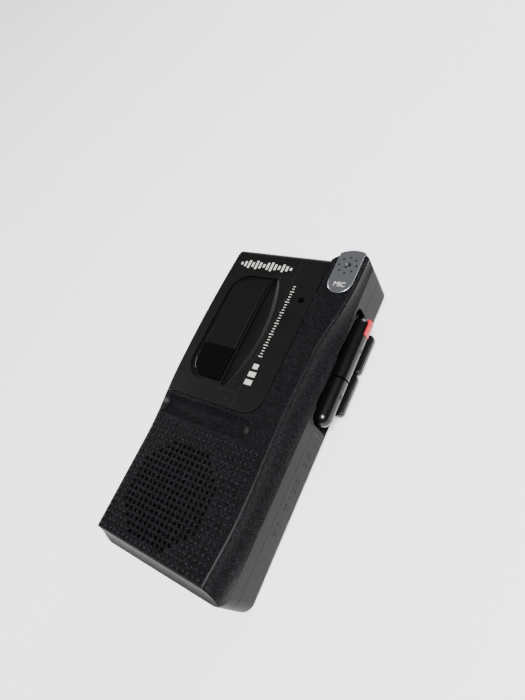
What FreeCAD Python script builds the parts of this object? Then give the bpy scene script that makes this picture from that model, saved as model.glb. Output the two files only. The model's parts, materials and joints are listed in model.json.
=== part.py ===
import FreeCAD, Part
import os
import Sketcher
from FreeCAD import Rotation, Vector

# Handheld microcassette recorder.  Millimetres.  +X to the key side, +Y to the microphone end,
# +Z out of the front.  The origin is the middle of the flat back face.

doc = FreeCAD.newDocument("Recorder")

SIZES = {
    # overall body
    "half_width": 26.4,        # centre to either straight side wall
    "half_length": 59.9,       # centre to the bottom end
    "thickness": 24.0,
    "top_end": 58.3,           # where the lid's end of the body stops
    "arch_rise": 3.6,          # how far the microphone end bows out past top_end
    "bulge": 3.3,              # how far the left wall swells beside the cassette
    "parting": 11.75,          # height of the case split
    "wall": 1.6,
    "front_skin": 1.8,
    "back_round": 2.4,
    "gap": 0.25,               # between pieces that must not touch
    # shoulder cove along the key side and the bottom end
    "cove_width": 4.8,
    "cove_drop": 6.6,
    "cove_end": 3.3,           # width of the cove at the bottom end
    # speaker field
    "pitch_grid": 2.04,
    "hole_bore": 0.7,          # radius of a sound hole
    "speaker_x": -5.2,
    "speaker_y": -37.8,
    "speaker_rad": 17.0,
    # finger groove
    "groove_y": -10.5,
    "groove_half": 3.5,
    "groove_depth": 1.6,
    "groove_end": 12.1,
    # cassette lid
    "seam_x": 12.25,
    "seam_y": -5.6,
    "lid_corner": 7.1,
    "lid_skin": 2.0,
    "hinge_x": -27.2,
    "hinge_z": 17.2,
    "hinge_rad": 2.45,
    "hinge_pin": 0.75,
    "skirt_rise": 3.4,         # how far above the hinge axis the lid's side wall starts
    # window
    "window_x": -24.4,
    "window_right": -7.2,
    "window_y": 1.3,
    "window_top": 46.2,
    "lamp_x": 8.1,
    "lamp_y": 39.1,
    "lamp_rad": 1.2,
    # keys
    "key_x": 26.8,
    "key_z": 10.1,
    "key_rad": 3.45,
    "stop_low": 1.5,
    "key_split": 19.0,
    "play_top": 43.9,
    "key_gap": 0.6,
    "bay_low": 0.9,
    "bay_top": 44.6,
    "bay_back": 2.2,
    "bay_front": 17.2,
    "key_travel": 2.0,
    "paddle_z": 2.7,
    "paddle_thick": 2.6,
    "paddle_tip": 30.5,
    "paddle_low": 8.5,
    "paddle_split": 24.6,
    "paddle_top": 40.4,
    "red_low": 36.6,
    "red_top": 42.6,
    # microphone plate
    "mic_x": 19.6,
    "mic_hole_y": 55.6,
    "mic_half": 4.7,
    "mic_low": 44.1,
    # batteries
    "cell_rad": 7.2,
    "cell_length": 50.5,
    "cell_gap": 0.3,
    "door_left": -24.2,
    "door_right": 7.0,
    "door_top": -4.9,
    "door_skin": 1.5,
    # drive
    "deck_z": 12.0,
    "deck_skin": 0.8,
    "capstan_x": 5.2,
    "capstan_y": 13.5,
    "capstan_rad": 0.75,
    "flywheel_rad": 9.5,
    "drive_hub": 3.0,
    "spindle_x": -11.0,
    "supply_y": 15.6,
    "takeup_y": 36.4,
    "spindle_wheel": 7.0,
    "motor_x": 15.5,
    "motor_y": -9.0,
    "motor_rad": 7.5,
    "pulley_rad": 2.2,
    "board_z": 1.9,
    "board_skin": 1.0,
    "jack_rad": 1.78,
    "dial_x": -15.0,
    "dial_rad": 8.0,
}

sheet = doc.addObject("Spreadsheet::Sheet", "Sizes")
for row, (alias, size) in enumerate(SIZES.items(), 1):
    sheet.set(f"A{row}", alias)
    sheet.set(f"B{row}", str(size))
    sheet.setAlias(f"B{row}", alias)
doc.recompute()


def cell(alias):
    """One size from the sheet, as a number."""
    return float(sheet.get(alias))


def bind(thing, **sizes):
    """Tie sizes and places of a piece to formulas written with the sheet's own names."""
    for name, text in sizes.items():
        path = {"px": ".Placement.Base.x", "py": ".Placement.Base.y", "pz": ".Placement.Base.z"}.get(name, name)
        thing.setExpression(path, linked(text))
    return thing


def linked(text):
    """Write the sheet's name before each alias in a formula."""
    words = ""
    word = ""
    for letter in str(text) + " ":
        if letter.isalnum() or letter == "_":
            word += letter
            continue
        words += ("Sizes." + word if word in SIZES else word) + letter
        word = ""
    return words.strip()


def block(x, y, z, dx, dy, dz):
    """A box from its low corner and its three sizes, all formulas."""
    return bind(doc.addObject("Part::Box", "Block"), px=x, py=y, pz=z, Length=dx, Width=dy, Height=dz)


TURNS = {"z": Rotation(), "x": Rotation(Vector(0, 1, 0), 90), "y": Rotation(Vector(1, 0, 0), -90)}


def rod(along, x, y, z, radius, length):
    """A cylinder that starts at a point and runs along +X, +Y or +Z."""
    thing = doc.addObject("Part::Cylinder", "Rod")
    thing.Placement.Rotation = TURNS[along]
    return bind(thing, px=x, py=y, pz=z, Radius=radius, Height=length)


def cone(along, x, y, z, radius_1, radius_2, length):
    thing = doc.addObject("Part::Cone", "Taper")
    thing.Placement.Rotation = TURNS[along]
    return bind(thing, px=x, py=y, pz=z, Radius1=radius_1, Radius2=radius_2, Height=length)


def ball(x, y, z, radius):
    return bind(doc.addObject("Part::Sphere", "Ball"), px=x, py=y, pz=z, Radius=radius)


def joined(*things):
    whole = doc.addObject("Part::MultiFuse", "Joined")
    whole.Shapes = list(things)
    whole.Refine = True
    return whole


def cut(base, *tools):
    for tool in tools:
        rest = doc.addObject("Part::Cut", "Cut")
        rest.Base = base
        rest.Tool = tool
        base = rest
    return base


def shared(base, tool):
    both = doc.addObject("Part::Common", "Shared")
    both.Base = base
    both.Tool = tool
    return both


def group(*things):
    """Separate solids kept in one piece."""
    whole = doc.addObject("Part::Compound", "Group")
    whole.Links = list(things)
    return whole


def rounded(base, pick, radius):
    """Fillet the edges that pick(edge) chooses."""
    doc.recompute()
    soft = doc.addObject("Part::Fillet", "Rounded")
    soft.Base = base
    chosen = [n for n, edge in enumerate(base.Shape.Edges, 1) if pick(edge)]
    soft.Edges = [(n, radius, radius) for n in chosen]
    return soft


def upright(edge):
    """True for a straight edge that runs along Z."""
    ends = edge.Vertexes
    return (len(ends) == 2 and abs(ends[0].X - ends[1].X) < 1e-6 and abs(ends[0].Y - ends[1].Y) < 1e-6
            and abs(ends[0].Z - ends[1].Z) > 1e-6)


def outline(*runs):
    """A closed plan sketch. Each run gives its start, and an arc also gives the point it passes through."""
    sketch = doc.addObject("Sketcher::SketchObject", "Outline")
    count = len(runs)
    places = [[float(sheet.evalExpression(linked(text))) for text in run] for run in runs]
    heads = []
    for i, place in enumerate(places):
        start = Vector(place[0], place[1], 0)
        end = Vector(places[(i + 1) % count][0], places[(i + 1) % count][1], 0)
        head = 1
        if len(place) == 4:
            middle = Vector(place[2], place[3], 0)
            if (middle - start).cross(end - start).z < 0:      # arcs in a sketch always run anticlockwise
                start, end = end, start
                head = 2
            sketch.addGeometry(Part.Arc(start, middle, end), False)
        else:
            sketch.addGeometry(Part.LineSegment(start, end), False)
        heads.append(head)
    for i, head in enumerate(heads):
        other = (i + 1) % count
        sketch.addConstraint(Sketcher.Constraint("Coincident", i, 3 - head, other, heads[other]))
    for i, head in enumerate(heads):
        for kind, axis in (("DistanceX", 0), ("DistanceY", 1)):
            tie = sketch.addConstraint(Sketcher.Constraint(kind, -1, 1, i, head, places[i][axis]))
            sketch.setExpression(f"Constraints[{tie}]", linked(runs[i][axis]))
    return sketch


def slab(sketch, low, height):
    """A sketch pushed up from a height."""
    solid = doc.addObject("Part::Extrusion", "Slab")
    solid.Base = sketch
    solid.DirMode = "Custom"
    solid.Dir = Vector(0, 0, 1)
    solid.Solid = True
    bind(solid, LengthFwd=height)
    solid.setExpression(".Placement.Base.z", linked(low))
    return solid


pieces = {}


def piece(name, thing):
    """Give a finished sub-part its own name."""
    thing.Label = name
    pieces[name] = thing
    return thing


# ---------------------------------------------------------------- body shape

def left_wall(inset):
    """The swelling left side from top to bottom, moved inwards by an inset."""
    x = f"-half_width - bulge * %s + {inset}"
    return [
        (x % 0.76, f"top_end - {inset}", x % 1, "seam_y + 31.6"),
        (x % 0.806, "seam_y + 10.6", x % 0.612, "seam_y + 2.4"),
        (x % 0.358, "seam_y - 3.9", x % 0.104, "seam_y - 11.4"),
        (x % 0, "seam_y - 20.4"),
    ]


def plan(inset="0"):
    """The whole body in plan, moved inwards by an inset."""
    return outline(
        (f"-half_width + {inset}", f"-half_length + {inset}"),
        (f"half_width - {inset}", f"-half_length + {inset}"),
        (f"half_width - {inset}", f"top_end + arch_rise * 0.5 - {inset}",
         "half_width - 6.4", f"top_end + arch_rise - {inset}"),
        ("seam_x + gap / 2", f"top_end - {inset}"),
        *left_wall(inset))


def corner_near(x, y):
    """Picks the upright edge nearest a place in plan."""
    def pick(edge):
        return upright(edge) and abs(edge.Vertexes[0].X - x) < 1.5 and abs(edge.Vertexes[0].Y - y) < 1.5
    return pick


W = cell("half_width")
L = cell("half_length")
TOP = cell("top_end")
T = cell("thickness")


def soft_block(low, height, inset="0"):
    """The body in plan, pushed up, with its four corners rounded."""
    solid = slab(plan(inset), low, height)
    step = float(sheet.evalExpression(linked(inset)))
    solid = rounded(solid, lambda e: upright(e) and e.Vertexes[0].Y < -L + step + 1, 4.2 - step)
    solid = rounded(solid, corner_near(W - step, TOP + cell("arch_rise") * 0.5 - step), 3.0 - step)
    return rounded(solid, corner_near(-W - cell("bulge") * 0.76 + step, TOP - step), 3.4 - step)


def at_height(edge, z):
    box = edge.BoundBox
    return abs(box.ZMin - z) < 1e-4 and abs(box.ZMax - z) < 1e-4


back_half = soft_block("0", "parting")
back_half = rounded(back_half, lambda e: at_height(e, 0), cell("back_round"))
front_half = soft_block("parting", "thickness - parting")
front_half = rounded(front_half, lambda e: at_height(e, T) and e.BoundBox.XMax < -W + 2.7, 1.0)


def cove_profile(width, drop, wall_line, side):
    """Closed section of the shoulder cove: soft crease, steep hollow, then the rim on the wall line."""
    top = "thickness"
    crease = f"({wall_line} - {side} * ({width}))"
    b = (f"{crease} + {side} * 0.35", f"{top} - 0.8")
    c = (wall_line, f"{top} - ({drop})")
    middle = (f"(({b[0]}) + ({c[0]})) / 2 - {side} * 0.08 * (({b[1]}) - ({c[1]}))",
              f"(({b[1]}) + ({c[1]})) / 2 - 0.08 * (({width}) - 0.35)")
    return outline(
        (f"{crease} - {side} * 0.9", f"{top} + 0.12", f"{crease} - {side} * 0.15", f"{top} - 0.25"),
        (*b, *middle),
        c,
        (f"{wall_line} + {side} * 5", f"{top} - ({drop})"),
        (f"{wall_line} + {side} * 5", f"{top} + 2"),
        (f"{crease} - {side} * 0.9", f"{top} + 2"))


def side_cove():
    """The cove along the key side: it narrows in an S towards the microphone end."""
    stations = [(-75, 1, 1), (-45, 1, 1), (-15, 1, 1), (12, 1, 1), (20, 0.97, 1), (27, 0.85, 1), (33, 0.62, 0.98),
                (39, 0.41, 0.93), (45, 0.27, 0.87), (51, 0.21, 0.83), (58, 0.2, 0.82), (72, 0.2, 0.82)]
    sections = []
    for y, narrow, shallow in stations:
        section = cove_profile(f"cove_width * {narrow}", f"cove_drop * {shallow}", "half_width", "1")
        section.Placement = FreeCAD.Placement(Vector(0, y, 0), Rotation(Vector(1, 0, 0), 90))
        sections.append(section)
    loft = doc.addObject("Part::Loft", "Cove")
    loft.Sections = sections
    loft.Solid = True
    return loft


def end_cove():
    """The narrower cove round the bottom end."""
    section = cove_profile("cove_end", "cove_drop", "-half_length", "-1")
    section.Placement = FreeCAD.Placement(Vector(0, 0, 0), Rotation(Vector(1, 1, 1), 120))
    solid = doc.addObject("Part::Extrusion", "EndCove")
    solid.Base = section
    solid.DirMode = "Custom"
    solid.Dir = Vector(1, 0, 0)
    solid.Solid = True
    bind(solid, LengthFwd="half_width * 2 + 40", LengthRev="half_width * 2")
    return solid


front_half = cut(front_half, side_cove(), end_cove())


# ---------------------------------------------------------------- lid and front case

def lid_region(grow, low):
    """Everything above a height inside the lid's seam, grown by a gap."""
    region = block("-half_width - 20", f"seam_y - {grow}", f"{low} - {grow}",
                   f"half_width + 20 + seam_x + {grow}", "top_end - seam_y + 20", "thickness")
    return rounded(region, corner_near(cell("seam_x"), cell("seam_y")), cell("lid_corner"))


def top_round():
    """Rounds the lid's end of the body over a quarter circle."""
    bar = block("-half_width - 10", "top_end - 3", "thickness - 3", "half_width + seam_x + 10", "9", "9")
    return cut(bar, rod("x", "-half_width - 12", "top_end - 3", "thickness - 3", "3", "half_width + seam_x + 20"))


sound_holes = []
for i in range(22):
    for j in range(20):
        if (i - 9.5) ** 2 + (j - 10.5) ** 2 < 8.4 ** 2:
            sound_holes.append(Part.makeCylinder(
                cell("hole_bore"), 4, Vector(cell("speaker_x") + (i - 9.5) * cell("pitch_grid"),
                                             cell("speaker_y") - (j - 10.5) * cell("pitch_grid"), T - 3)))
hole_field = doc.addObject("Part::Feature", "SoundHoles")
hole_field.Shape = Part.makeCompound(sound_holes)


def key_bay():
    """The opening in the side wall for the key bars and the paddles."""
    bay = block("half_width - 3.6", "bay_low", "bay_back", "12", "bay_top - bay_low", "bay_front - bay_back")
    return rounded(bay, lambda e: abs(e.BoundBox.XLength) > 11 and e.BoundBox.ZMin > 10, 2.8)


def groove():
    """A lying round-ended hollow below the lid."""
    depth_radius = "((groove_half * groove_half + groove_depth * groove_depth) / (2 * groove_depth))"
    drum = rod("x", "-half_width + 1.2", "groove_y", f"thickness - groove_depth + {depth_radius}", depth_radius,
               "half_width - 1.2 + groove_end - groove_half")
    end = ball("groove_end - groove_half", "groove_y", f"thickness - groove_depth + {depth_radius}", depth_radius)
    start = ball("-half_width + 2.6", "groove_y", f"thickness - groove_depth + {depth_radius}", depth_radius)
    return [drum, end, start]


def inner_block(low, height):
    """The hollow inside the walls, with the same swelling side."""
    return slab(plan("wall"), low, height)


deep_hollow = inner_block("parting - 1", "thickness - 7.1 - parting + 1")
high_hollow = shared(inner_block("thickness - 9", "9 - front_skin"),
                     block("-half_width - 8", "-half_length + cove_end + wall", "thickness - 9",
                           "half_width * 2 + 8 - cove_width - 2", "half_length * 2 + 10", "9 - front_skin"))
pad = block("-half_width + 1", "groove_y - 4.6", "thickness - 3.4", "half_width - 1 + groove_end", "9.2", "2")

well = block("-half_width - 0.6", "seam_y + 0.4", "parting - 1", "half_width + 0.6 + seam_x - 0.2",
             "top_end - seam_y - 2.2", "thickness")
well = rounded(well, corner_near(cell("seam_x"), cell("seam_y")), cell("lid_corner"))
barrel_gap = rod("y", "hinge_x", "seam_y + 1.9", "hinge_z", "hinge_rad + 0.3", "top_end - seam_y - 5.8")
ears = group(
    block("hinge_x - 0.85", "seam_y - 1", "hinge_z - 3", "2.6", "2.9", "4.6"),
    block("hinge_x - 0.85", "top_end - 3.9", "hinge_z - 3", "2.6", "2.6", "4.6"))
pins = group(
    rod("y", "hinge_x", "seam_y - 0.6", "hinge_z", "hinge_pin", "6"),
    rod("y", "hinge_x", "top_end - 7.5", "hinge_z", "hinge_pin", "5.8"))
lid_cut = group(lid_region("gap", "hinge_z + skirt_rise"),
                block("-half_width - 20", "seam_y + 2.2 - gap", "hinge_z - gap", "21", "top_end - seam_y - 6.4 + 2 * gap", "3.6"))
# the side wall's corners pass here as the lid swings open
swing_room = cut(block("-half_width - 20", "seam_y - gap", "hinge_z", "hinge_x + half_width + 20",
                       "top_end - seam_y + 20", "skirt_rise"),
                 rod("y", "hinge_x", "seam_y - 1", "hinge_z", "skirt_rise - gap", "top_end - seam_y + 22"))
screw_posts = [("half_width - 3.9", "-half_length + 5.3"), ("9.4", "-half_length + 4.7"),
               ("-half_width + 1.1", "top_end - 4"), ("half_width - 4", "top_end - 5.2")]

front = cut(front_half, deep_hollow, high_hollow)
front = joined(front, pad)
front = cut(front, *groove())
front = cut(front, lid_cut, swing_room, well, barrel_gap, key_bay(), hole_field)
front_post_parts = [rod("z", x, y, "parting - 0.2", "2", "2.9") for x, y in screw_posts]
front = joined(front, ears, *front_post_parts)
front = cut(front, *[rod("z", x, y, "parting - 1", "0.8", "6") for x, y in screw_posts], pins)

lid_block = shared(soft_block("parting", "thickness - parting"), lid_region("0", "hinge_z + skirt_rise"))
lid_block = rounded(lid_block, lambda e: at_height(e, T) and e.BoundBox.XMax < -W + 2.7, 1.0)
lid = cut(lid_block, top_round(),
          block("-half_width - 0.6", "seam_y - 1", "hinge_z - 1", "half_width * 2", "top_end - seam_y - 0.8",
                "thickness - lid_skin - hinge_z + 1"))
barrel = shared(soft_block("parting", "thickness - parting"),
                rod("y", "hinge_x", "seam_y + 2.2", "hinge_z", "hinge_rad", "top_end - seam_y - 6.4"))
lid = cut(joined(lid, barrel, block("hinge_x - 0.2", "seam_y + 2.2", "hinge_z", "1.7", "top_end - seam_y - 6.4", "5")),
          rod("y", "hinge_x", "seam_y", "hinge_z", "hinge_pin + 0.05", "top_end - seam_y"))


# ---------------------------------------------------------------- window, scoop and lamp hole in the lid

def window_shape(inset, low, height, round_left):
    """The window's outline: straight on the right, large corners on the left."""
    bar = block(f"window_x + {inset}", f"window_y + {inset}", low, f"window_right - window_x - 2 * {inset}",
                f"window_top - window_y - 2 * {inset}", height)
    left = cell("window_x") + float(inset)
    return rounded(bar, lambda e: upright(e) and e.Vertexes[0].X < left + 1, round_left)


scoop_rad = "52.4"
scoop_x = f"window_right + 7.7 - {scoop_rad}"
scoop_y = "(window_y + window_top) / 2"
scoop = shared(cone("z", scoop_x, scoop_y, "thickness - 1.1", f"{scoop_rad} - 2.2", f"{scoop_rad} + 0.4", "1.3"),
               block("window_right + 0.25", "window_y", "thickness - 1.1", "20", "window_top - window_y", "2"))
lid = cut(lid, window_shape("0", "thickness - 0.9", "2", 8.0), scoop,
          window_shape("1.4", "thickness - 3", "4", 6.6),
          rod("z", "lamp_x", "lamp_y", "thickness - 4", "lamp_rad", "6"))
piece("cassette_lid", lid)
lens = window_shape("1.45", "thickness - 1.9", "1.75", 6.55)
lens = rounded(lens, lambda e: at_height(e, T - 0.15), 0.7)
piece("lid_window", lens)
piece("lid_hinge_pins", group(
    rod("y", "hinge_x", "seam_y - 0.6", "hinge_z", "hinge_pin", "5.6"),
    rod("y", "hinge_x", "top_end - 7.1", "hinge_z", "hinge_pin", "5.4")))

# ---------------------------------------------------------------- microphone end


def mic_plan(low, height, inset="0"):
    """Round-ended strip that runs off the microphone end."""
    half = f"(mic_half - {inset})"
    return joined(rod("z", "mic_x", "mic_low + mic_half", low, half, height),
                  block(f"mic_x - {half}", "mic_low + mic_half", low, f"2 * {half}", "20", height))


plate = shared(slab(plan("-0.2"), "thickness - 3.4", "3.65"), mic_plan("thickness - 3.5", "6"))
plate = cut(plate, shared(slab(plan("0.8"), "thickness - 5", "4.1"), mic_plan("thickness - 6", "8", "-1")))
plate = cut(plate, block("mic_x - 9", "mic_low - 1", "thickness - 5", "18", "top_end - mic_low + 1", "4.1"))
front = cut(front, plate)
mic_hole = rod("z", "mic_x", "mic_hole_y", "thickness - 6", "1.25", "9")
ring = [rod("z", f"mic_x + 3.3 * {c}", f"mic_hole_y + 3.3 * {s}", "thickness - 6", "0.45", "9")
        for c, s in ((1, 0), (0.7071, 0.7071), (0, 1), (-0.7071, 0.7071), (-1, 0), (-0.7071, -0.7071), (0, -1),
                     (0.7071, -0.7071))]
piece("mic_plate", cut(plate, mic_hole, *ring))
front = cut(front, rod("z", "mic_x", "mic_hole_y", "thickness - 7.4", "4.0", "10"))
piece("front_case", front)
piece("mic_boot", cut(rod("z", "mic_x", "mic_hole_y", "thickness - 7.2", "3.9", "6.2"),
                      rod("z", "mic_x", "mic_hole_y", "thickness - 6.4", "3.05", "9")))
piece("mic_capsule", rod("z", "mic_x", "mic_hole_y", "thickness - 6.3", "3.0", "4.6"))

# ---------------------------------------------------------------- rear case and battery door

door_shape = block("door_left", "-half_length - 1", "-1", "door_right - door_left",
                   "door_top + half_length + 1", "door_skin + 1")
opening = block("door_left - gap", "-half_length - 1", "-1", "door_right - door_left + 2 * gap",
                "door_top + half_length + 1 + gap", "door_skin + gap + 1")
rear = cut(back_half, inner_block("wall", "parting"), opening)
rear = joined(
    rear,
    block("door_right - 0.8", "-half_length + wall - 0.1", "door_skin + gap", "0.8", "door_top + half_length - wall + 1.2",
          "parting - door_skin - gap"),
    block("-half_width + 0.5", "door_top + 0.3", "door_skin + gap", "door_right + half_width - 0.5", "0.8",
          "parting - door_skin - gap"),
    *[rod("z", x, y, "wall - 0.2", "2", "parting - wall - 0.1") for x, y in screw_posts])
ear_x = "0"
aux_x = "9"
dc_x = "16"
dial_y = "top_end + 1 - dial_rad"
rear = cut(
    rear, key_bay(),
    *[rod("z", x, y, "-1", "1.1", "20") for x, y in screw_posts],
    *[rod("z", x, y, "-1", "1.9", "2.6") for x, y in screw_posts],
    rod("y", ear_x, "top_end - 4", "7.2", "jack_rad", "9"),
    rod("y", aux_x, "top_end - 4", "7.2", "jack_rad", "9"),
    rod("y", dc_x, "-half_length - 2", "7.8", "2.75", "9"),
    block("dial_x - 6.4", "top_end - 4", "6.2", "12.8", "9", "3.4"),
    block("-half_width - 6", "7", "6.4", "6", "6.5", "2.4"),
    block("-half_width - 6", "26", "6.4", "6", "6.5", "2.4"))
piece("rear_case", rear)
door_edges = rounded(soft_block("0", "parting"), lambda e: at_height(e, 0), cell("back_round"))
door = shared(door_edges, door_shape)
piece("battery_door", cut(door, *[block("door_left + 9", f"door_top - 3 - {n} * 1.4", "-1", "13.2", "0.6", "1.35")
                                  for n in range(5)]))
piece("case_screws", group(*[
    joined(rod("z", x, y, "0.3", "1.75", "1.2"), rod("z", x, y, "1.4", "0.78", "12")) for x, y in screw_posts]))

# ---------------------------------------------------------------- keys

bar_front = rod("y", "key_x", "stop_low + key_rad", "key_z", "key_rad", "key_split - key_gap / 2 - stop_low - key_rad")
flat = block("key_x - 9", "-5", "key_z - 6", "6.8", "60", "12")
stop = cut(joined(bar_front, ball("key_x", "stop_low + key_rad", "key_z", "key_rad")), flat)
stop = joined(stop, block("20.2", "8", "key_z - 1.2", "key_x - 22.2", "5", "2.4"))
piece("stop_key", stop)
play = joined(rod("y", "key_x", "key_split + key_gap / 2", "key_z", "key_rad",
                  "play_top - key_rad - key_split - key_gap / 2"),
              ball("key_x", "play_top - key_rad", "key_z", "key_rad"))
play = joined(cut(play, flat), block("20.2", "27", "key_z - 1.2", "key_x - 22.2", "5", "2.4"))
play = cut(play, block("key_x - 0.4", "red_low - 0.15", "key_z - 2.05", "9", "red_top - red_low + 0.3", "4.1"))
piece("play_key", play)
red = shared(block("key_x + 0.9", "red_low", "key_z - 1.9", "9", "red_top - red_low", "3.8"),
             rod("y", "key_x", "red_low - 1", "key_z", "key_rad + 0.12", "red_top - red_low + 2"))
piece("record_button", red)


def paddle(low, high):
    """A flat key with soft outer corners and a narrow stem."""
    blade = block("23.1", low, "paddle_z", "paddle_tip - 23.1", f"{high} - ({low})", "paddle_thick")
    blade = rounded(blade, lambda e: upright(e) and e.Vertexes[0].X > 29, 1.6)
    blade = rounded(blade, lambda e: abs(e.BoundBox.XMin - cell("paddle_tip")) < 0.01
                    and abs(e.BoundBox.YLength) > 5, 0.6)
    return joined(blade, block("20.2", f"({low}) + 4.5", "paddle_z + 0.5", "3.2", "5", "paddle_thick - 1"))


piece("review_key", paddle("paddle_low", "paddle_split - 0.2"))
piece("cue_key", paddle("paddle_split + 0.2", "paddle_top"))
guide = block("20.9", "bay_low - 1.2", "paddle_z + paddle_thick + 0.4", "1.5", "bay_top - bay_low + 2.4",
              "bay_front - 6.6")
slots = [block("20", y, "key_z - 1.4", "4", "5.4", "2.8") for y in ("7.8", "26.8")]
piece("key_guide", cut(guide, *slots))
comb = [block("17.6", "8.5", "3.4", "0.3", "30", "1.4"), block("17.6", "9", "4.6", "0.3", "3.6", "7"),
        block("17.6", "28", "4.6", "0.3", "3.6", "7")]
piece("key_spring", joined(*comb))

# ---------------------------------------------------------------- tape drive

deck = block("-half_width + 0.4", "seam_y + 1.2", "deck_z", "46", "top_end - seam_y - 4.6", "deck_skin")
deck = cut(
    deck,
    rod("z", "spindle_x", "supply_y", "10", "2.5", "6"), rod("z", "spindle_x", "takeup_y", "10", "2.5", "6"),
    rod("z", "capstan_x", "capstan_y", "10", "1.9", "6"), rod("z", "-half_width + 1.1", "top_end - 4", "10", "2.4", "6"),
    rod("z", "motor_x", "motor_y", "10", "motor_rad + 0.4", "6"))
piece("mechanism_deck", deck)
bearing = rod("z", "capstan_x", "capstan_y", "deck_z - 1.6", "1.85", "3.4")
piece("capstan_bearing", cut(bearing, rod("z", "capstan_x", "capstan_y", "deck_z - 3", "capstan_rad + 0.03", "8")))
piece("capstan_shaft", rod("z", "capstan_x", "capstan_y", "3.8", "capstan_rad", "15.8"))
fly = joined(rod("z", "capstan_x", "capstan_y", "3.9", "flywheel_rad", "2.4"),
             rod("z", "capstan_x", "capstan_y", "6.2", "drive_hub", "2.6"))
piece("flywheel", cut(fly, rod("z", "capstan_x", "capstan_y", "3", "capstan_rad", "8")))
reach = 0.4278
idler_x = f"capstan_x + {reach} * (spindle_x - capstan_x)"
idler_y = f"capstan_y + {reach} * (takeup_y - capstan_y)"
idler_rad = "8.95"
idler = cut(rod("z", idler_x, idler_y, "7", idler_rad, "1.6"), rod("z", idler_x, idler_y, "6", "0.85", "4"))
piece("idler_wheel", idler)
piece("idler_pin", rod("z", idler_x, idler_y, "6.6", "0.8", "deck_z - 6.6"))


def spindle(y, wheel_z):
    post = joined(rod("z", "spindle_x", y, wheel_z, "spindle_wheel", "1.6"),
                  rod("z", "spindle_x", y, wheel_z, "2.2", f"18.6 - {wheel_z}"),
                  cone("z", "spindle_x", y, "18.5", "2.2", "1.2", "1.5"),
                  *[block(f"spindle_x - {a}", f"{y} - {b}", "deck_z + 2.2", f"2 * {a}", f"2 * {b}", "4")
                    for a, b in (("2.7", "0.45"), ("0.45", "2.7"))])
    return cut(post, rod("z", "spindle_x", y, f"{wheel_z} - 1", "0.85", "8"))


piece("supply_spindle", spindle("supply_y", "9.2"))
piece("take_up_spindle", spindle("takeup_y", "7"))
piece("spindle_pins", group(*[rod("z", "spindle_x", y, "4.2", "0.8", "9") for y in ("supply_y", "takeup_y")]))
piece("spindle_bridge", cut(block("spindle_x - 3", "supply_y - 3", "3.4", "6", "takeup_y - supply_y + 6", "0.8"),
                            block("spindle_x - 4", "supply_y + 4", "3", "8", "takeup_y - supply_y - 8", "0.9")))
motor = joined(rod("z", "motor_x", "motor_y", "6.6", "motor_rad", "9.4"),
               rod("z", "motor_x", "motor_y", "6.2", "2.4", "0.5"))
piece("drive_motor", cut(motor, rod("z", "motor_x", "motor_y", "6", "0.55", "5")))
pulley = joined(rod("z", "motor_x", "motor_y", "3.7", "pulley_rad + 0.5", "0.5"),
                rod("z", "motor_x", "motor_y", "4.1", "pulley_rad", "1.5"),
                rod("z", "motor_x", "motor_y", "5.5", "pulley_rad + 0.5", "0.4"),
                rod("z", "motor_x", "motor_y", "5.6", "0.5", "5"))
piece("motor_pulley", pulley)


def belt():
    """A flat belt round the pulley and the flywheel, as one closed ring of even thickness."""
    far = Vector(cell("capstan_x"), cell("capstan_y"), 0)
    near = Vector(cell("motor_x"), cell("motor_y"), 0)

    def ring_face(extra):
        big = cell("flywheel_rad") + extra
        small = cell("pulley_rad") + extra
        line = near - far
        lean = FreeCAD.Vector(line.x / line.Length, line.y / line.Length, 0)
        side = Vector(-lean.y, lean.x, 0)
        dip = (big - small) / line.Length
        rise = (1 - dip * dip) ** 0.5
        up = lean * dip + side * rise
        down = lean * dip - side * rise
        edges = [
            Part.LineSegment(far + up * big, near + up * small).toShape(),
            Part.Arc(near + up * small, near + lean * small, near + down * small).toShape(),
            Part.LineSegment(near + down * small, far + down * big).toShape(),
            Part.Arc(far + down * big, far - lean * big, far + up * big).toShape()]
        return Part.Face(Part.Wire(edges))

    band = ring_face(0.65).cut(ring_face(0.05))
    band.translate(Vector(0, 0, 4.4))
    return band.extrude(Vector(0, 0, 1))


belt_piece = doc.addObject("Part::Feature", "Belt")
belt_piece.Shape = belt()
piece("drive_belt", belt_piece)

# ---------------------------------------------------------------- heads

head_y = "26"
base = cut(block("8.2", "19.5", "deck_z + deck_skin + 0.2", "9.4", "17.5", "0.7"),
           block("11.5", "22", "deck_z", "3.4", "2", "3"), block("11.5", "31.5", "deck_z", "3.4", "2", "3"))
piece("head_plate", base)
piece("record_head", block("8.4", f"{head_y} - 2.6", "deck_z + deck_skin + 0.9", "4.4", "5.2", "6"))
piece("erase_head", block("8.4", "32.6", "deck_z + deck_skin + 0.9", "3.2", "3.4", "5"))
pinch_x = "capstan_x + capstan_rad + 3.9"
arm_pivot_x = "capstan_x + 6.6"
arm_pivot_y = "capstan_y - 9"
arm = joined(block(f"{arm_pivot_x} - 1.5", arm_pivot_y, "deck_z + deck_skin + 0.2", "3", "5.6", "0.8"),
             rod("z", arm_pivot_x, arm_pivot_y, "deck_z + deck_skin + 0.2", "1.7", "0.8"),
             block(f"{pinch_x} - 1.4", "capstan_y - 4.4", "deck_z + deck_skin + 0.2", "4", "5.9", "0.8"))
arm = cut(arm, rod("z", arm_pivot_x, arm_pivot_y, "deck_z", "0.85", "3"),
          rod("z", pinch_x, "capstan_y", "deck_z", "0.6", "3"))
piece("pinch_arm", arm)
piece("pinch_arm_pivot", rod("z", arm_pivot_x, arm_pivot_y, "deck_z + deck_skin", "0.8", "2"))
piece("pinch_roller_pin", rod("z", pinch_x, "capstan_y", "deck_z + deck_skin + 0.2", "0.6", "6.4"))
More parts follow.
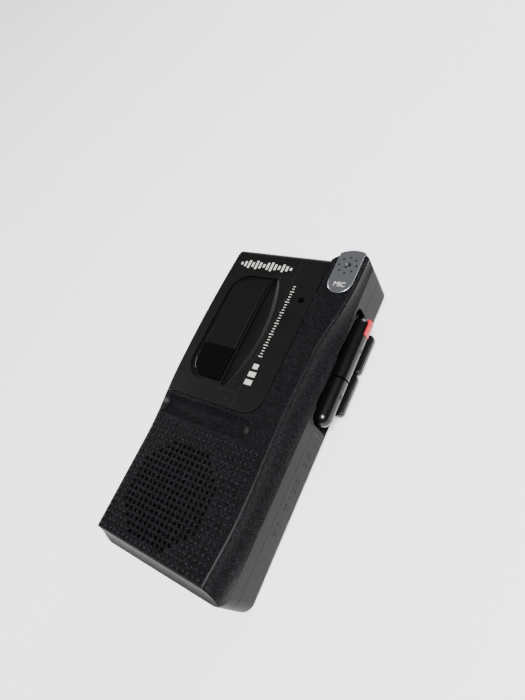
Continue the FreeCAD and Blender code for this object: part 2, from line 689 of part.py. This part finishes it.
piece("pinch_roller", cut(rod("z", pinch_x, "capstan_y", "deck_z + deck_skin + 1.2", "2.9", "5"),
                          rod("z", pinch_x, "capstan_y", "deck_z", "0.65", "12")))

# ---------------------------------------------------------------- electronics and power

board = block("-half_width + 1", "door_top + 1.6", "board_z", "half_width + 19.1", "top_end - door_top - 4.4", "board_skin")
board = cut(board, rod("z", "-half_width + 1.1", "top_end - 4", "1", "2.4", "4"))
piece("main_board", board)
chips = [block("-20", "6", "board_z + board_skin", "7", "5", "0.9"), block("-25", "44", "board_z + board_skin", "4.5", "4", "2.6"),
         block("13", "48", "board_z + board_skin", "5", "4", "2.4"), block("-5", "31", "board_z + board_skin", "8", "6", "1.1"),
         rod("z", "14.6", "42", "board_z + board_skin", "1.9", "7"), rod("z", "-24", "36", "board_z + board_skin", "2", "6")]
piece("board_parts", group(*chips))
lamp = joined(rod("z", "lamp_x", "lamp_y", "deck_z + deck_skin", "lamp_rad - 0.1", "thickness - lid_skin - deck_z - deck_skin - 1.4"),
              ball("lamp_x", "lamp_y", "thickness - lid_skin - 1.4", "lamp_rad - 0.1"))
piece("record_lamp", lamp)
speaker = cut(rod("z", "speaker_x", "speaker_y", "thickness - 4.2", "speaker_rad", "2.2"),
              cone("z", "speaker_x", "speaker_y", "thickness - 3.9", "5.5", "speaker_rad - 1", "2.3"),
              rod("z", "speaker_x", "speaker_y", "thickness - 5", "5.4", "3"))
piece("speaker_frame", speaker)
dish = cut(cone("z", "speaker_x", "speaker_y", "thickness - 3.5", "6.4", "speaker_rad - 4.2", "1.4"),
           cone("z", "speaker_x", "speaker_y", "thickness - 3.2", "6", "speaker_rad - 4.5", "1.4"))
piece("speaker_cone", joined(dish, rod("z", "speaker_x", "speaker_y", "thickness - 3.5", "4.6", "0.7")))
piece("speaker_magnet", rod("z", "speaker_x", "speaker_y", "thickness - 7", "5.2", "3.2"))

cell_z = "door_skin + 0.5 + cell_rad"
right_cell = "door_right - 1.1 - cell_rad"
left_cell = "door_right - 1.1 - 3 * cell_rad - cell_gap"
cell_low = "door_top - 0.4 - cell_length"


def dry_cell(x, up):
    """One AA cell: can, button end and the two sleeves."""
    body = rod("y", x, cell_low, cell_z, "cell_rad", "cell_length - 1.4")
    if up:
        return joined(body, rod("y", x, f"{cell_low} + cell_length - 1.5", cell_z, "2.7", "1.5"))
    body = rod("y", x, f"{cell_low} + 1.4", cell_z, "cell_rad", "cell_length - 1.4")
    return joined(body, rod("y", x, cell_low, cell_z, "2.7", "1.5"))


piece("battery_cell_right", dry_cell(right_cell, True))
piece("battery_cell_left", dry_cell(left_cell, False))
bridge_y = "-half_length + wall + 0.1"
piece("bridge_contact", joined(
    block(f"{left_cell} - 4", bridge_y, f"{cell_z} - 4", f"{right_cell} - ({left_cell}) + 8", "0.4", "8"),
    cone("y", right_cell, f"{bridge_y} + 0.4", cell_z, "4", "2.4", f"{cell_low} - ({bridge_y}) - 0.45")))
piece("button_contact", block(f"{right_cell} - 3.5", "door_top - 0.35", f"{cell_z} - 4", "7", "0.35", "6"))
piece("spring_contact", block(f"{left_cell} - 3.5", "door_top - 0.35", f"{cell_z} - 4", "7", "0.35", "6"))

dial = rod("z", "dial_x", dial_y, "6.6", "dial_rad", "2.6")
piece("volume_wheel", cut(dial, rod("z", "dial_x", dial_y, "6", "1.55", "4")))
piece("volume_control", joined(rod("z", "dial_x", dial_y, "board_z + board_skin", "4.6", "3.2"),
                               rod("z", "dial_x", dial_y, "5.8", "1.5", "3.8")))


def slider(y):
    knob = joined(block("-half_width - 4.2", f"{y} + 2.2", "6.7", "5.6", "2.4", "1.8"),
                  block("-half_width + 0.6", f"{y} + 0.8", "6.7", "1", "5", "1.8"))
    return knob, block("-half_width + 1.8", f"{y}", "board_z + board_skin", "3.2", "9", "6")


speed_knob, speed_body = slider("5.6")
voice_knob, voice_body = slider("24.6")
piece("speed_knob", speed_knob)
piece("speed_switch", speed_body)
piece("voice_knob", voice_knob)
piece("voice_switch", voice_body)


def jack(x, outer_y, sign, bore, z, half):
    """A socket body with its bore, behind an end wall."""
    low = f"{outer_y} - 11" if sign > 0 else outer_y
    body = block(f"{x} - {half}", low, f"{z} - 2.9", f"2 * {half}", "11", "5.8")
    return cut(body, rod("y", x, f"({low}) - 1" if sign < 0 else f"({low}) + 2", z, bore, "10"))


piece("earphone_jack", jack(ear_x, "top_end - wall", 1, "jack_rad", "7.2", "3.4"))
piece("microphone_jack", jack(aux_x, "top_end - wall", 1, "jack_rad", "7.2", "3.4"))
socket = jack(dc_x, "-half_length + wall", -1, "2.7", "7.8", "3.8")
piece("dc_jack", joined(socket, rod("y", dc_x, "-half_length + wall + 1", "7.8", "0.8", "9.5")))

# ---------------------------------------------------------------- write

doc.recompute()
faults = [f"{thing.Label}: {thing.State}" for thing in doc.Objects
          if "Invalid" in thing.State or "Error" in thing.State]
for name, thing in pieces.items():
    if thing.Shape.isNull() or not thing.Shape.isValid():
        faults.append(f"{name}: bad shape")
if faults:
    raise RuntimeError("; ".join(faults))
os.makedirs("parts", exist_ok=True)
for name, thing in pieces.items():
    shape = thing.Shape
    if len(shape.Solids) == 1:
        shape = shape.Solids[0]
    shape.exportStep(f"parts/{name}.step")
print(f"{len(pieces)} pieces written")
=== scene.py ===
import json
import math
import bpy
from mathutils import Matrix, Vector

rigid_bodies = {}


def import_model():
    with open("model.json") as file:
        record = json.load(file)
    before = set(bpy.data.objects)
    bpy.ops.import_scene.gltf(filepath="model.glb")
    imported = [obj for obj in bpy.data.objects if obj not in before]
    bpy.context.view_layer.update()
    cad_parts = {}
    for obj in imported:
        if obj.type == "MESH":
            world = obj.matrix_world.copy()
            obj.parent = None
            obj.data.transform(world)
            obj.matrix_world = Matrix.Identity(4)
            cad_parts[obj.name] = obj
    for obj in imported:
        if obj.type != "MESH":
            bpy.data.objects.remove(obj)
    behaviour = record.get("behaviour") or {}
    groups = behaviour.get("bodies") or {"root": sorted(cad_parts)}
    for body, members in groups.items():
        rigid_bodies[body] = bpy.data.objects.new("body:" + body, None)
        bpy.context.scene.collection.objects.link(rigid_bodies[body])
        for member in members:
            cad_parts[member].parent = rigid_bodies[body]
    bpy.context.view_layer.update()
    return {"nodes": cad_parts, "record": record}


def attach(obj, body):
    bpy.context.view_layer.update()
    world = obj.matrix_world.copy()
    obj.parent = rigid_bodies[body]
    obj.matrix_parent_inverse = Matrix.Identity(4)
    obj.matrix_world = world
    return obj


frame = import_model()
mm = 0.001
print("stage: frame loaded")


# Node helpers

class Val:                                   # a socket that can be used in sums
    def __init__(self, tree, socket):
        self.tree = tree
        self.socket = socket

    def math(self, kind, a, b=0.0, clamp=False):
        n = self.tree.nodes.new("ShaderNodeMath")
        n.operation = kind
        n.use_clamp = clamp
        for i, v in enumerate((a, b)):
            if isinstance(v, Val):
                self.tree.links.new(v.socket, n.inputs[i])
            else:
                n.inputs[i].default_value = v
        return Val(self.tree, n.outputs[0])

    def __add__(self, o):
        return self.math("ADD", self, o)

    def __radd__(self, o):
        return self.math("ADD", o, self)

    def __sub__(self, o):
        return self.math("SUBTRACT", self, o)

    def __rsub__(self, o):
        return self.math("SUBTRACT", o, self)

    def __mul__(self, o):
        return self.math("MULTIPLY", self, o)

    def __gt__(self, o):
        return self.math("GREATER_THAN", self, o)

    def __lt__(self, o):
        return self.math("LESS_THAN", self, o)

    def far(self):
        return self.math("ABSOLUTE", self)

    def clamped(self):
        return self.math("ADD", self, 0.0, True)


class Mat:                                   # a material whose textures are read in the object's own place
    def __init__(self, name, rough=0.5, metal=0.0, **fixed):
        self.mat = bpy.data.materials.new(name)
        self.mat.use_nodes = True
        self.tree = self.mat.node_tree
        self.bsdf = self.tree.nodes["Principled BSDF"]
        self.bsdf.inputs["Roughness"].default_value = rough
        self.bsdf.inputs["Metallic"].default_value = metal
        for key, value in fixed.items():
            self.bsdf.inputs[key.replace("_", " ")].default_value = value
        self.place = self.node("ShaderNodeTexCoord").outputs["Object"]

    def node(self, kind, settings=None, **inputs):
        n = self.tree.nodes.new(kind)
        for key, value in (settings or {}).items():
            setattr(n, key, value)
        for key, value in inputs.items():
            numbered = key[0] == "i" and key[1:].isdigit()
            socket = n.inputs[int(key[1:]) if numbered else key.replace("_", " ")]
            if isinstance(value, Val):
                self.tree.links.new(value.socket, socket)
            elif isinstance(value, bpy.types.NodeSocket):
                self.tree.links.new(value, socket)
            else:
                socket.default_value = value
        return n

    def noise(self, scale, detail=2.0, roughness=0.5):
        n = self.node("ShaderNodeTexNoise", Vector=self.place, Scale=scale, Detail=detail,
                      Roughness=roughness)
        return Val(self.tree, n.outputs[0])

    def specks(self, scale, size):           # small dots, 1 inside a dot
        n = self.node("ShaderNodeTexVoronoi", Vector=self.place, Scale=scale)
        return Val(self.tree, n.outputs["Distance"]) < size

    def cells(self, scale):                  # one random value for each speck
        n = self.node("ShaderNodeTexVoronoi", Vector=self.place, Scale=scale)
        parts = self.node("ShaderNodeSeparateColor", i0=n.outputs["Color"])
        return Val(self.tree, parts.outputs[0])

    def axis(self, i):
        parts = self.node("ShaderNodeSeparateXYZ", i0=self.place)
        return Val(self.tree, parts.outputs[i])

    def mix(self, factor, a, b):
        n = self.node("ShaderNodeMix", {"data_type": "RGBA"}, i0=factor)
        for i, c in ((6, a), (7, b)):
            if isinstance(c, tuple):
                n.inputs[i].default_value = (*c, 1)
            else:
                self.tree.links.new(c, n.inputs[i])
        return n.outputs[2]

    def paint(self, colour, rough, bump=None, depth=0.00002, strength=0.3):
        self.tree.links.new(colour, self.bsdf.inputs["Base Color"])
        self.tree.links.new(rough.socket, self.bsdf.inputs["Roughness"])
        if bump is not None:
            n = self.node("ShaderNodeBump", Strength=strength, Distance=depth, Height=bump)
            self.tree.links.new(n.outputs[0], self.bsdf.inputs["Normal"])
        return self.mat


# Finishes

finish = dict(caseBlack=(0.0016, 0.00165, 0.0019), caseWarm=(0.0026, 0.0025, 0.0025),
              sparkle=(0.06, 0.068, 0.09),
              lidBlack=(0.0014, 0.0014, 0.0015), keyBlack=(0.0012, 0.0012, 0.0014), red=(0.3, 0.004, 0.012),
              silver=(0.075, 0.078, 0.085), splitHeight=11.75 * mm, splitHalf=0.11 * mm,
              bandEdge=15.8 * mm, bandSharp=3000.0, cellBand=-17 * mm)


def sparklePlastic(name, amount, rough):     # moulded black with a fine metal fleck
    m = Mat(name, rough, Specular_IOR_Level=0.08)
    tone = m.noise(60, 3)
    grain = m.noise(2600, 2)
    dots = m.specks(5200, 0.3) * (m.cells(5200) > 1 - amount)
    base = m.mix(tone, finish["caseBlack"], finish["caseWarm"])
    colour = m.mix(dots * 0.6, base, finish["sparkle"])
    z = m.axis(2)
    seam = (z - finish["splitHeight"]).far() < finish["splitHalf"]
    colour = m.mix(seam, colour, (0.002, 0.002, 0.002))
    roughness = rough - 0.05 + tone * 0.1 + grain * 0.06 + seam * 0.4
    relief = grain * 0.7 + dots * 0.5 + m.noise(700, 1) * 0.8 - seam * 4.0
    return m.paint(colour, roughness, relief, 0.00003, 0.32)


def satinPlastic(name, shade, rough, depth=0.00001, coat=0.0):
    m = Mat(name, rough, Coat_Weight=coat, Coat_Roughness=0.18, Specular_IOR_Level=0.2)
    tone = m.noise(90, 3)
    grain = m.noise(3800, 1)
    scuff = (m.noise(420, 4, 0.7) - 0.62).clamped() * 1.6
    lighter = tuple(c * 1.35 for c in shade)
    dust = m.specks(900, 0.12) * (m.cells(900) > 0.97)
    colour = m.mix(dust * 0.12, m.mix(tone, shade, lighter), (0.4, 0.4, 0.39))
    relief = grain + m.noise(900, 1) * 0.6
    return m.paint(colour, rough - 0.04 + tone * 0.08 + scuff * 0.3, relief, depth, 0.3)


def metalFinish(name, shade, rough, brushed=0.0):
    m = Mat(name, rough, 1.0)
    stretch = (1.0, 14.0, 14.0) if brushed else (1.0, 1.0, 1.0)
    stretched = m.node("ShaderNodeMapping", Vector=m.place, Scale=stretch)
    lines = m.node("ShaderNodeTexNoise", Vector=stretched.outputs[0], Scale=900.0, Detail=2.0)
    grain = Val(m.tree, lines.outputs[0])
    tone = m.noise(120, 3)
    darker = tuple(c * 0.72 for c in shade)
    return m.paint(m.mix(tone, darker, shade), rough - 0.08 + grain * 0.16, grain, 0.000012, 0.25)


def silverPaint():
    m = Mat("silverPlate", 0.34, 0.55)
    fleck = m.noise(4200, 2)
    tone = m.noise(70, 2)
    base = m.mix(tone, tuple(c * 0.86 for c in finish["silver"]), finish["silver"])
    colour = m.mix((fleck - 0.55).clamped() * 2.2, base, (0.16, 0.165, 0.18))
    return m.paint(colour, 0.3 + fleck * 0.12, fleck, 0.00001, 0.3)


def windowPlastic():                         # smoked, with a darker band at the low end
    m = Mat("smokedWindow", 0.2, Specular_IOR_Level=0.22)
    y = m.axis(1)
    low = ((finish["bandEdge"] - y) * finish["bandSharp"]).clamped()
    scuff = m.noise(900, 4, 0.7)
    hair = (m.noise(260, 5, 0.75) - 0.6).clamped()
    colour = m.mix(low, (0.0028, 0.0028, 0.003), (0.0008, 0.0008, 0.0008))
    return m.paint(colour, 0.24 + scuff * 0.08 + hair * 0.5 - low * 0.1, scuff, 0.000006, 0.2)


def rubberFinish():
    m = Mat("rubberBlack", 0.7)
    grain = m.noise(1800, 3)
    colour = m.mix(grain, (0.014, 0.014, 0.014), (0.035, 0.034, 0.033))
    return m.paint(colour, 0.6 + grain * 0.2, grain, 0.00004, 0.4)


def boardFinish():
    m = Mat("boardGreen", 0.35)
    brick = m.node("ShaderNodeTexBrick", Vector=m.place, Scale=260.0)
    tracks = Val(m.tree, brick.outputs["Fac"])
    colour = m.mix(tracks * 0.6, (0.02, 0.11, 0.045), (0.04, 0.2, 0.09))
    return m.paint(colour, 0.3 + m.noise(600) * 0.15, tracks, 0.00002, 0.4)


def sleeveFinish():                          # dry cell: dark sleeve, coppery top band
    m = Mat("cellSleeve", 0.28, 0.6)
    y = m.axis(1)
    band = (y - finish["cellBand"]) > 0
    tone = m.noise(300, 2)
    colour = m.mix(band, (0.02, 0.02, 0.024), (0.5, 0.24, 0.09))
    return m.paint(colour, 0.22 + tone * 0.12, tone, 0.00001, 0.2)


def lampFinish():
    m = Mat("lampLens", 0.15, Coat_Weight=0.6, Coat_Roughness=0.05)
    tone = m.noise(800, 2)
    colour = m.mix(tone, (0.03, 0.004, 0.004), (0.09, 0.01, 0.01))
    return m.paint(colour, 0.12 + tone * 0.1, tone, 0.00001, 0.1)


def paperFinish():
    m = Mat("paperCone", 0.85)
    fibre = m.noise(1600, 4, 0.7)
    colour = m.mix(fibre, (0.02, 0.02, 0.021), (0.055, 0.053, 0.05))
    return m.paint(colour, 0.75 + fibre * 0.15, fibre, 0.00005, 0.5)


casePlastic = sparklePlastic("casePlastic", 0.34, 0.4)
lidPlastic = satinPlastic("lidPlastic", finish["lidBlack"], 0.42)
keyPlastic = satinPlastic("keyPlastic", finish["keyBlack"], 0.25, 0.000008, 0.25)
paddlePlastic = satinPlastic("paddlePlastic", (0.0015, 0.0015, 0.0015), 0.42)
innerPlastic = satinPlastic("innerPlastic", (0.03, 0.03, 0.032), 0.5)
redPlastic = satinPlastic("redPlastic", finish["red"], 0.3, 0.000008, 0.3)
whitePlastic = satinPlastic("whitePlastic", (0.6, 0.59, 0.55), 0.45)
printLight = satinPlastic("printLight", (0.3, 0.29, 0.26), 0.5)
markDark = satinPlastic("markDark", (0.006, 0.006, 0.006), 0.5)
steelFinish = metalFinish("steelFinish", (0.62, 0.62, 0.63), 0.28, 1)
deckSteel = metalFinish("deckSteel", (0.5, 0.5, 0.47), 0.38)
brassFinish = metalFinish("brassFinish", (0.72, 0.52, 0.22), 0.25, 1)
canFinish = metalFinish("canFinish", (0.68, 0.69, 0.7), 0.3)
magnetFinish = metalFinish("magnetFinish", (0.24, 0.24, 0.25), 0.45)
rubberBlack = rubberFinish()
bySlot = dict(case_plastic=casePlastic, lid_plastic=lidPlastic, smoked_window=windowPlastic(),
              steel=steelFinish, silver_plate=silverPaint(), aluminium_can=canFinish,
              rubber=rubberBlack, lamp_lens=lampFinish(),
              key_plastic=keyPlastic, red_plastic=redPlastic, paddle_plastic=paddlePlastic,
              inner_plastic=innerPlastic, deck_steel=deckSteel, white_plastic=whitePlastic,
              brass=brassFinish, board_green=boardFinish(), paper_cone=paperFinish(),
              magnet=magnetFinish, cell_sleeve=sleeveFinish())
for row in frame["record"]["subparts"]:
    for slot in frame["nodes"][row["node"]].material_slots:
        slot.material = bySlot[row["material_slot"]]
print("stage: finishes on the CAD nodes")


# Modelling helpers

def nothingSelected():
    for o in bpy.data.objects:
        o.select_set(False)
    bpy.context.view_layer.objects.active = None


def settled(o, name, material, body):   # place goes into the mesh, then it is named and rides
    nothingSelected()
    o.select_set(True)
    bpy.context.view_layer.objects.active = o
    bpy.ops.object.transform_apply(location=True, rotation=True, scale=True)
    o.name = name
    o.data.name = name
    o.data.materials.clear()
    o.data.materials.append(material)
    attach(o, body)


def joinAll(parts):
    nothingSelected()
    for o in parts:
        o.select_set(True)
    bpy.context.view_layer.objects.active = parts[0]
    bpy.ops.object.join()
    return parts[0]


def bevelled(o, width, segments=2):
    nothingSelected()
    o.select_set(True)
    bpy.context.view_layer.objects.active = o
    b = o.modifiers.new("soft", "BEVEL")
    b.width = width
    b.segments = segments
    bpy.ops.object.modifier_apply(modifier="soft")
    return o


def barAt(centre, size):                     # a bar by its middle and its full sizes
    nothingSelected()
    bpy.ops.mesh.primitive_cube_add(size=1, location=[c * mm for c in centre])
    o = bpy.context.object
    o.scale = [s * mm for s in size]
    bpy.ops.object.transform_apply(location=False, rotation=False, scale=True)
    return o


def copyOf(o, shift):                        # a copy with its own mesh
    twin = o.copy()
    twin.data = o.data.copy()
    twin.location = [a + b * mm for a, b in zip(o.location, shift)]
    bpy.context.scene.collection.objects.link(twin)
    return twin


# Raised domes of the speaker field

field = dict(cols=22, rows=20, pitch=2.04, x=-5.2, y=-37.8, midCol=9.5, midRow=10.5, holeReach=8.4,
             radius=0.66, rise=0.42, top=24.0, sunk=0.04, softAngle=50)


def domes():
    nothingSelected()
    bpy.ops.mesh.primitive_uv_sphere_add(segments=12, ring_count=8, radius=field["radius"] * mm)
    dome = bpy.context.object
    bpy.ops.object.mode_set(mode="EDIT")
    bpy.ops.mesh.select_all(action="SELECT")
    bpy.ops.mesh.bisect(plane_co=(0, 0, -field["sunk"] * mm), plane_no=(0, 0, 1), clear_inner=True,
                        use_fill=True)
    bpy.ops.object.mode_set(mode="OBJECT")
    dome.scale = (1, 1, field["rise"] / field["radius"])
    bpy.ops.object.transform_apply(location=False, rotation=False, scale=True)
    bpy.ops.object.shade_smooth_by_angle(angle=math.radians(field["softAngle"]))
    placed = []
    for i in range(field["cols"]):
        for j in range(field["rows"]):
            dx = i - field["midCol"]
            dy = j - field["midRow"]
            if dx * dx + dy * dy >= field["holeReach"] ** 2:
                at = (field["x"] + dx * field["pitch"], field["y"] - dy * field["pitch"], field["top"])
                placed.append(copyOf(dome, at))
    bpy.data.objects.remove(dome)
    settled(joinAll(placed), "grille_domes", casePlastic, "case")


domes()


# Dark cloth behind the sound holes

cloth = dict(radius=17.0, low=22.03, thick=0.12, edge=0.04)


def speakerCloth():
    nothingSelected()
    middle = cloth["low"] + cloth["thick"] / 2
    bpy.ops.mesh.primitive_cylinder_add(vertices=64, radius=cloth["radius"] * mm, depth=cloth["thick"] * mm,
                                        location=(field["x"] * mm, field["y"] * mm, middle * mm))
    m = Mat("speakerCloth", 0.9)
    wave = m.node("ShaderNodeTexWave", Vector=m.place, Scale=900.0)
    weave = Val(m.tree, wave.outputs["Fac"])
    colour = m.mix(weave, (0.004, 0.004, 0.004), (0.014, 0.014, 0.013))
    m.paint(colour, 0.8 + weave * 0.1, weave, 0.00004, 0.5)
    settled(bevelled(bpy.context.object, cloth["edge"] * mm), "speaker_cloth", m.mat, "case")


speakerCloth()
print("stage: speaker field")


# Printed and moulded marks, all generic

lidTop = 24.0
ink = 0.035                                  # how thick printed marks are
panel = dict(right=1.3, left=-6.6, low=-5.2, high=55.2, lowCross=0.3, highCross=47.5, wide=0.16,
             thick=0.03, edge=0.01)


def lidLines():                              # fine moulded lines that frame the window panel
    across = panel["right"] - panel["left"]
    down = panel["high"] - panel["low"]
    middleX = (panel["right"] + panel["left"]) / 2
    middleY = (panel["high"] + panel["low"]) / 2
    runs = [((panel["right"], middleY, lidTop), (panel["wide"], down, panel["thick"])),
            ((middleX, panel["lowCross"], lidTop), (across, panel["wide"], panel["thick"])),
            ((middleX, panel["highCross"], lidTop), (across, panel["wide"], panel["thick"]))]
    bars = [bevelled(barAt(at, size), panel["edge"] * mm) for at, size in runs]
    settled(joinAll(bars), "lid_lines", markDark, "lid")


ticks = dict(x=3.1, low=15, step=1.12, count=27, every=4, long=1.7, short=1.0, wide=0.3,
             blockX=3.3, blockLow=5.0, blockStep=3.0, blockTall=1.9, blocks=(2.9, 2.9, 2.1))


def printedScale():                          # a plain tick scale beside the scoop
    parts = []
    for n in range(ticks["count"]):
        reach = ticks["long"] if n % ticks["every"] == 0 else ticks["short"]
        y = ticks["low"] + n * ticks["step"]
        parts.append(barAt((ticks["x"], y, lidTop), (reach, ticks["wide"], ink)))
    for n, wide in enumerate(ticks["blocks"]):
        y = ticks["blockLow"] + n * ticks["blockStep"]
        parts.append(barAt((ticks["blockX"], y, lidTop), (wide, ticks["blockTall"], ink)))
    settled(joinAll(parts), "printed_scale", printLight, "lid")


sound = dict(x=-24.6, y=51.2, step=1.75, wide=0.95, edge=0.01,
             heights=(1.2, 2.4, 3.6, 2.2, 3.9, 2.8, 1.6, 3.2, 4.0, 2.6, 1.8, 3.4, 2.2, 1.2))


def soundBars():                             # a row of sound-level bars
    parts = []
    for n, tall in enumerate(sound["heights"]):
        bar = barAt((sound["x"] + n * sound["step"], sound["y"], lidTop), (sound["wide"], tall, ink))
        parts.append(bevelled(bar, sound["edge"] * mm, 1))
    settled(joinAll(parts), "printed_sound_bars", printLight, "lid")


word = dict(x=19.7, y=47.5, z=24.24, tall=2.6, thick=0.02, bolder=0.03)


def micWord():
    nothingSelected()
    bpy.ops.object.text_add(location=(word["x"] * mm, word["y"] * mm, word["z"] * mm))
    text = bpy.context.object.data
    text.body = "MIC"
    text.size = word["tall"] * mm
    text.align_x = "CENTER"
    text.align_y = "CENTER"
    text.extrude = word["thick"] * mm
    text.offset = word["bolder"] * mm
    bpy.ops.object.convert(target="MESH")
    settled(bpy.context.object, "mic_word", printLight, "case")


keyMark = dict(x=30.24, z=10.1, playY=31, stopY=13, radius=1.0, square=1.5, thick=0.16)


def keyMarks():                              # a triangle on the play key and a square on the stop key
    nothingSelected()
    at = [v * mm for v in (keyMark["x"], keyMark["playY"], keyMark["z"])]
    bpy.ops.mesh.primitive_cylinder_add(vertices=3, radius=keyMark["radius"] * mm,
                                        depth=keyMark["thick"] * mm, location=at,
                                        rotation=(0, math.radians(90), 0))
    settled(bpy.context.object, "play_mark", markDark, "play")
    square = barAt((keyMark["x"], keyMark["stopY"], keyMark["z"]),
                   (keyMark["thick"], keyMark["square"], keyMark["square"]))
    settled(square, "stop_mark", markDark, "stop")


lidLines()
printedScale()
soundBars()
micWord()
keyMarks()
print("stage: marks")


# Plate rim and side details

rim = dict(x=19.6, half=4.7, low=44.1, top=60.0, z=24.14, wire=0.17, inset=0.12, steps=24)


def plateRim():                              # the bright bevelled edge of the microphone plate
    nothingSelected()
    bpy.ops.curve.primitive_bezier_curve_add()
    curve = bpy.context.object.data
    curve.splines.clear()
    line = curve.splines.new("POLY")
    inward = 1 - rim["inset"] / rim["half"]
    spots = [(rim["half"], rim["top"] - rim["low"])]
    for n in range(rim["steps"] + 1):
        a = -math.pi * n / rim["steps"]
        spots.append((rim["half"] * math.cos(a), rim["half"] + rim["half"] * math.sin(a)))
    line.points.add(len(spots) - 1)
    for point, (x, y) in zip(line.points, spots):
        across = rim["x"] + x * inward
        along = rim["low"] + rim["inset"] + y
        point.co = (across * mm, along * mm, rim["z"] * mm, 1)
    curve.bevel_depth = rim["wire"] * mm
    curve.bevel_resolution = 3
    curve.use_fill_caps = True
    bpy.ops.object.convert(target="MESH")
    bpy.ops.object.shade_smooth()
    settled(bpy.context.object, "plate_rim", canFinish, "case")


wallX = 26.4
groove = dict(z=2.9, wide=0.14, deep=0.04, lowY=-28, lowLong=54, highY=51, highLong=9)
slit = dict(y=-36, tall=14, wide=0.5, deep=0.05)
tab = dict(y=-1.2, z=7.4, tall=7.6, footY=-0.3, footZ=3.6, footLong=2.0, wide=0.18, deep=0.05)


def sideLines():                             # the tab below the keys, the line and the slit
    runs = [((wallX, tab["y"], tab["z"]), (tab["deep"], tab["wide"], tab["tall"])),
            ((wallX, tab["footY"], tab["footZ"]), (tab["deep"], tab["footLong"], tab["wide"])),
            ((wallX, groove["lowY"], groove["z"]), (groove["deep"], groove["lowLong"], groove["wide"])),
            ((wallX, groove["highY"], groove["z"]), (groove["deep"], groove["highLong"], groove["wide"])),
            ((wallX, slit["y"], groove["z"]), (slit["deep"], slit["tall"], slit["wide"]))]
    bars = [barAt(at, size) for at, size in runs]
    settled(joinAll(bars), "side_lines", markDark, "case")


blocks = dict(z=7.0, top=-8.5, step=2.9, proud=0.14, bar=0.55, apart=1.0, postWide=0.5, postTall=1.6,
              postShift=0.3, widths=(1.9, 1.3, 0, 1.9, 1.9, 0.7, 1.9, 0, 1.3, 1.9))


def sideMarks():                             # low moulded blocks, two bars and a post in each
    parts = []
    for n, wide in enumerate(blocks["widths"]):
        if wide:
            y = blocks["top"] - n * blocks["step"]
            for shift in (blocks["apart"], -blocks["apart"]):
                parts.append(barAt((wallX, y, blocks["z"] + shift), (blocks["proud"], wide, blocks["bar"])))
            parts.append(barAt((wallX, y + wide * blocks["postShift"], blocks["z"]),
                               (blocks["proud"], blocks["postWide"], blocks["postTall"])))
    settled(joinAll(parts), "side_marks", casePlastic, "case")


plateRim()
sideLines()
sideMarks()
print("stage: rims and side lines")


# Floor, light and camera

studio = dict(eye=(102.27, -37.36, 160.36), tilt=(32.2623, 24.6975, 27.6361), lens=26.66, sensor=36,
              near=0.005, floorSize=6, floorZ=-0.0002, sky=(1, 0.99, 0.98, 1), skyStrength=0.16,
              lamps=dict(key=((0.5, -0.25, 1.15), 0.45, 56),          # place, size, power
                         far=((0.2, 1.1, 0.5), 0.5, 14), side=((-1.1, 0.1, 0.35), 0.3, 5)))


def stageAndLight():
    nothingSelected()
    bpy.ops.mesh.primitive_plane_add(size=studio["floorSize"], location=(0, 0, studio["floorZ"]))
    floor = bpy.context.object
    floor.name = "floor"
    m = Mat("floorWhite", 0.9)
    tone = m.noise(6, 2)
    m.paint(m.mix(tone, (0.9, 0.9, 0.9), (0.93, 0.93, 0.93)), 0.85 + tone * 0.05)
    floor.data.materials.append(m.mat)
    world = bpy.data.worlds.new("studio")
    world.use_nodes = True
    world.node_tree.nodes["Background"].inputs[0].default_value = studio["sky"]
    world.node_tree.nodes["Background"].inputs[1].default_value = studio["skyStrength"]
    bpy.context.scene.world = world
    for name, (at, size, power) in studio["lamps"].items():
        light = bpy.data.lights.new(name, "AREA")
        light.size = size
        light.energy = power
        o = bpy.data.objects.new(name, light)
        o.location = at
        o.rotation_euler = (-Vector(at)).to_track_quat("-Z", "Y").to_euler()
        bpy.context.scene.collection.objects.link(o)


def cameraOn():
    data = bpy.data.cameras.new("camera")
    data.lens = studio["lens"]
    data.sensor_width = studio["sensor"]
    data.clip_start = studio["near"]
    eye = bpy.data.objects.new("camera", data)
    eye.location = [v * mm for v in studio["eye"]]
    eye.rotation_euler = [math.radians(a) for a in studio["tilt"]]
    bpy.context.scene.collection.objects.link(eye)
    bpy.context.scene.camera = eye


stageAndLight()
cameraOn()
print("stage: light and camera")
